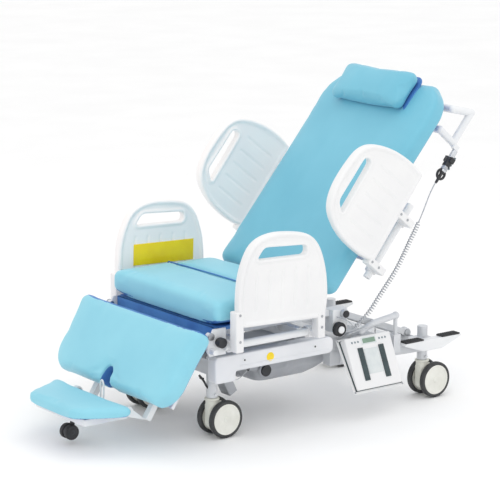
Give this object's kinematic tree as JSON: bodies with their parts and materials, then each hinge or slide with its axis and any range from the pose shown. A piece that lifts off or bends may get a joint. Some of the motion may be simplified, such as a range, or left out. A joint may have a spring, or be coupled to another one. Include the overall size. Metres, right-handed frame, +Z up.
{
  "type": "mobile examination table",
  "caption": "Mobile examination table with a reclining backrest, drop leg and foot rests, fold-out side arms, a low lift base on twin casters and a weighing console.",
  "frame": {"origin": "on the floor, under the middle of the table's footprint at rest", "axes": "+X towards the head end, +Y towards the far side (the patient's left when lying face up with the head at +X), +Z up"},
  "size_m": [1.572, 0.763, 1.1248],
  "materials": {
    "frame_paint": "satin powder coat",
    "cover_plastic": "fine satin",
    "grey_plastic": "satin",
    "black_plastic": "fine grain",
    "seat_paint": "satin powder coat",
    "bare_steel": "ground",
    "black_rubber": "matt",
    "cream_plastic": "satin",
    "tyre_rubber": "matt",
    "upholstery": "fine-grained coated fabric",
    "display_window": "clear window over a grey-green display",
    "key_plastic": "satin",
    "cord_sheath": "satin",
    "yellow_plate": "plain"
  },
  "bodies": {
    "base": {"base_frame": "frame_paint", "side_cover_near": "cover_plastic", "side_cover_far": "cover_plastic", "drive_housing": "grey_plastic", "drive_cap": "black_plastic", "caster_stems": "bare_steel", "base_pivot_pins": "bare_steel", "lift_motor": "grey_plastic", "console_bracket": "frame_paint", "console_case": "cover_plastic", "console_panel": "cover_plastic", "console_display": "display_window", "console_strips": "black_plastic", "console_cable": "cord_sheath"},
    "pedals": {"brake_shaft": "bare_steel", "brake_pedal_near": "frame_paint", "brake_pedal_far": "frame_paint", "pedal_pads": "black_rubber"},
    "lift_front": {"lift_arms_front": "seat_paint"},
    "lift_rear": {"lift_arms_rear": "seat_paint"},
    "lift_rod": {"lift_rod": "bare_steel"},
    "seat": {"seat_frame": "seat_paint", "seat_board": "seat_paint", "seat_pad": "upholstery", "hip_pad": "upholstery", "control_box": "black_plastic", "front_seat_pins": "bare_steel", "section_pins": "bare_steel", "leg_actuator": "grey_plastic", "curly_cord": "cord_sheath"},
    "roller": {"buffer_roller": "black_rubber"},
    "lock_knob": {"leg_lock_knob": "black_plastic"},
    "seat_arm_near": {"seat_arm_near": "cover_plastic"},
    "seat_arm_far": {"seat_arm_far": "cover_plastic", "arm_plate": "yellow_plate"},
    "back": {"back_frame": "frame_paint", "back_pad": "upholstery", "pillow": "upholstery", "push_handle": "frame_paint", "handset": "black_plastic", "handset_buttons": "key_plastic"},
    "back_arm_near": {"back_arm_near": "cover_plastic"},
    "back_arm_far": {"back_arm_far": "cover_plastic"},
    "leg": {"leg_frame": "frame_paint", "leg_pad": "upholstery", "foot_pins": "bare_steel"},
    "foot": {"foot_frame": "frame_paint", "foot_pad": "upholstery"},
    "foot_fork": {"foot_caster_fork": "black_plastic"},
    "foot_wheels": {"foot_caster_wheels": "black_rubber"},
    "caster_foot_near": {"housing_foot_near": "cream_plastic"},
    "wheels_foot_near": {"wheels_foot_near": "tyre_rubber"},
    "caster_foot_far": {"housing_foot_far": "cream_plastic"},
    "wheels_foot_far": {"wheels_foot_far": "tyre_rubber"},
    "caster_head_near": {"housing_head_near": "cream_plastic"},
    "wheels_head_near": {"wheels_head_near": "tyre_rubber"},
    "caster_head_far": {"housing_head_far": "cream_plastic"},
    "wheels_head_far": {"wheels_head_far": "tyre_rubber"}
  },
  "joints": [
    {"name": "lift_turn", "type": "hinge", "parent": "base", "child": "lift_front", "pos_m": [0.16803, 0, 0.24136], "axis": [0, 1, 0], "range_deg": [0, 50]},
    {"name": "seat_level", "type": "hinge", "parent": "lift_front", "child": "seat", "pos_m": [-0.10457, 0, 0.346], "axis": [0, 1, 0], "range_deg": [-50, 0]},
    {"name": "lift_rear_turn", "type": "hinge", "parent": "base", "child": "lift_rear", "pos_m": [0.49803, 0, 0.24136], "axis": [0, 1, 0], "range_deg": [0, 50]},
    {"name": "lift_rod_slide", "type": "slide", "parent": "base", "child": "lift_rod", "axis": [1, 0, 0], "range_m": [0, 0.0873]},
    {"name": "back_recline", "type": "hinge", "parent": "seat", "child": "back", "pos_m": [0.10843, 0, 0.4], "axis": [0, -1, 0], "range_deg": [-50, 0], "deforming": ["curly_cord"]},
    {"name": "leg_raise", "type": "hinge", "parent": "seat", "child": "leg", "pos_m": [-0.35357, 0, 0.362], "axis": [0, 1, 0], "range_deg": [0, 57]},
    {"name": "foot_level", "type": "hinge", "parent": "leg", "child": "foot", "pos_m": [-0.57957, 0, 0.122], "axis": [0, 1, 0], "range_deg": [-57, 0]},
    {"name": "foot_caster_swivel", "type": "hinge", "parent": "foot", "child": "foot_fork", "pos_m": [-0.69157, 0, 0.098], "axis": [0, 0, 1], "continuous": true},
    {"name": "foot_caster_spin", "type": "hinge", "parent": "foot_fork", "child": "foot_wheels", "pos_m": [-0.70557, 0, 0.042], "axis": [0, 1, 0], "continuous": true},
    {"name": "swivel_foot_near", "type": "hinge", "parent": "base", "child": "caster_foot_near", "pos_m": [-0.29157, -0.212, 0.13], "axis": [0, 0, 1], "continuous": true},
    {"name": "spin_foot_near", "type": "hinge", "parent": "caster_foot_near", "child": "wheels_foot_near", "pos_m": [-0.26057, -0.212, 0.0625], "axis": [0, 1, 0], "continuous": true},
    {"name": "swivel_foot_far", "type": "hinge", "parent": "base", "child": "caster_foot_far", "pos_m": [-0.29157, 0.212, 0.13], "axis": [0, 0, 1], "continuous": true},
    {"name": "spin_foot_far", "type": "hinge", "parent": "caster_foot_far", "child": "wheels_foot_far", "pos_m": [-0.26057, 0.212, 0.0625], "axis": [0, 1, 0], "continuous": true},
    {"name": "swivel_head_near", "type": "hinge", "parent": "base", "child": "caster_head_near", "pos_m": [0.57543, -0.253, 0.13], "axis": [0, 0, 1], "continuous": true},
    {"name": "spin_head_near", "type": "hinge", "parent": "caster_head_near", "child": "wheels_head_near", "pos_m": [0.60643, -0.253, 0.0625], "axis": [0, 1, 0], "continuous": true},
    {"name": "swivel_head_far", "type": "hinge", "parent": "base", "child": "caster_head_far", "pos_m": [0.57543, 0.253, 0.13], "axis": [0, 0, 1], "continuous": true},
    {"name": "spin_head_far", "type": "hinge", "parent": "caster_head_far", "child": "wheels_head_far", "pos_m": [0.60643, 0.253, 0.0625], "axis": [0, 1, 0], "continuous": true},
    {"name": "brake_rock", "type": "hinge", "parent": "base", "child": "pedals", "pos_m": [0.57543, 0, 0.2], "axis": [0, 1, 0], "range_deg": [-12, 12]},
    {"name": "lock_turn", "type": "hinge", "parent": "seat", "child": "lock_knob", "pos_m": [-0.32557, -0.309, 0.342], "axis": [0, 1, 0], "range_deg": [-90, 0]},
    {"name": "roller_spin", "type": "hinge", "parent": "seat", "child": "roller", "pos_m": [0.19743, -0.263, 0.298], "axis": [0, 1, 0], "continuous": true},
    {"name": "seat_arm_near_fold", "type": "hinge", "parent": "seat", "child": "seat_arm_near", "pos_m": [-0.12157, -0.3, 0.323], "axis": [1, 0, 0], "range_deg": [0, 90]},
    {"name": "seat_arm_far_fold", "type": "hinge", "parent": "seat", "child": "seat_arm_far", "pos_m": [-0.12157, 0.3, 0.323], "axis": [-1, 0, 0], "range_deg": [0, 90]},
    {"name": "back_arm_near_fold", "type": "hinge", "parent": "back", "child": "back_arm_near", "pos_m": [0.34252, -0.322, 0.57066], "axis": [0.6428, 0, 0.766], "range_deg": [0, 90]},
    {"name": "back_arm_far_fold", "type": "hinge", "parent": "back", "child": "back_arm_far", "pos_m": [0.34252, 0.322, 0.57066], "axis": [-0.6428, 0, -0.766], "range_deg": [0, 90]}
  ],
  "couplings": [
    {"joint": "seat_level", "follows": "lift_turn", "ratio": -1},
    {"joint": "lift_rear_turn", "follows": "lift_turn", "ratio": 1},
    {"joint": "lift_rod_slide", "follows": "lift_turn", "m_per_rad": 0.1},
    {"joint": "foot_level", "follows": "leg_raise", "ratio": -1}
  ]
}
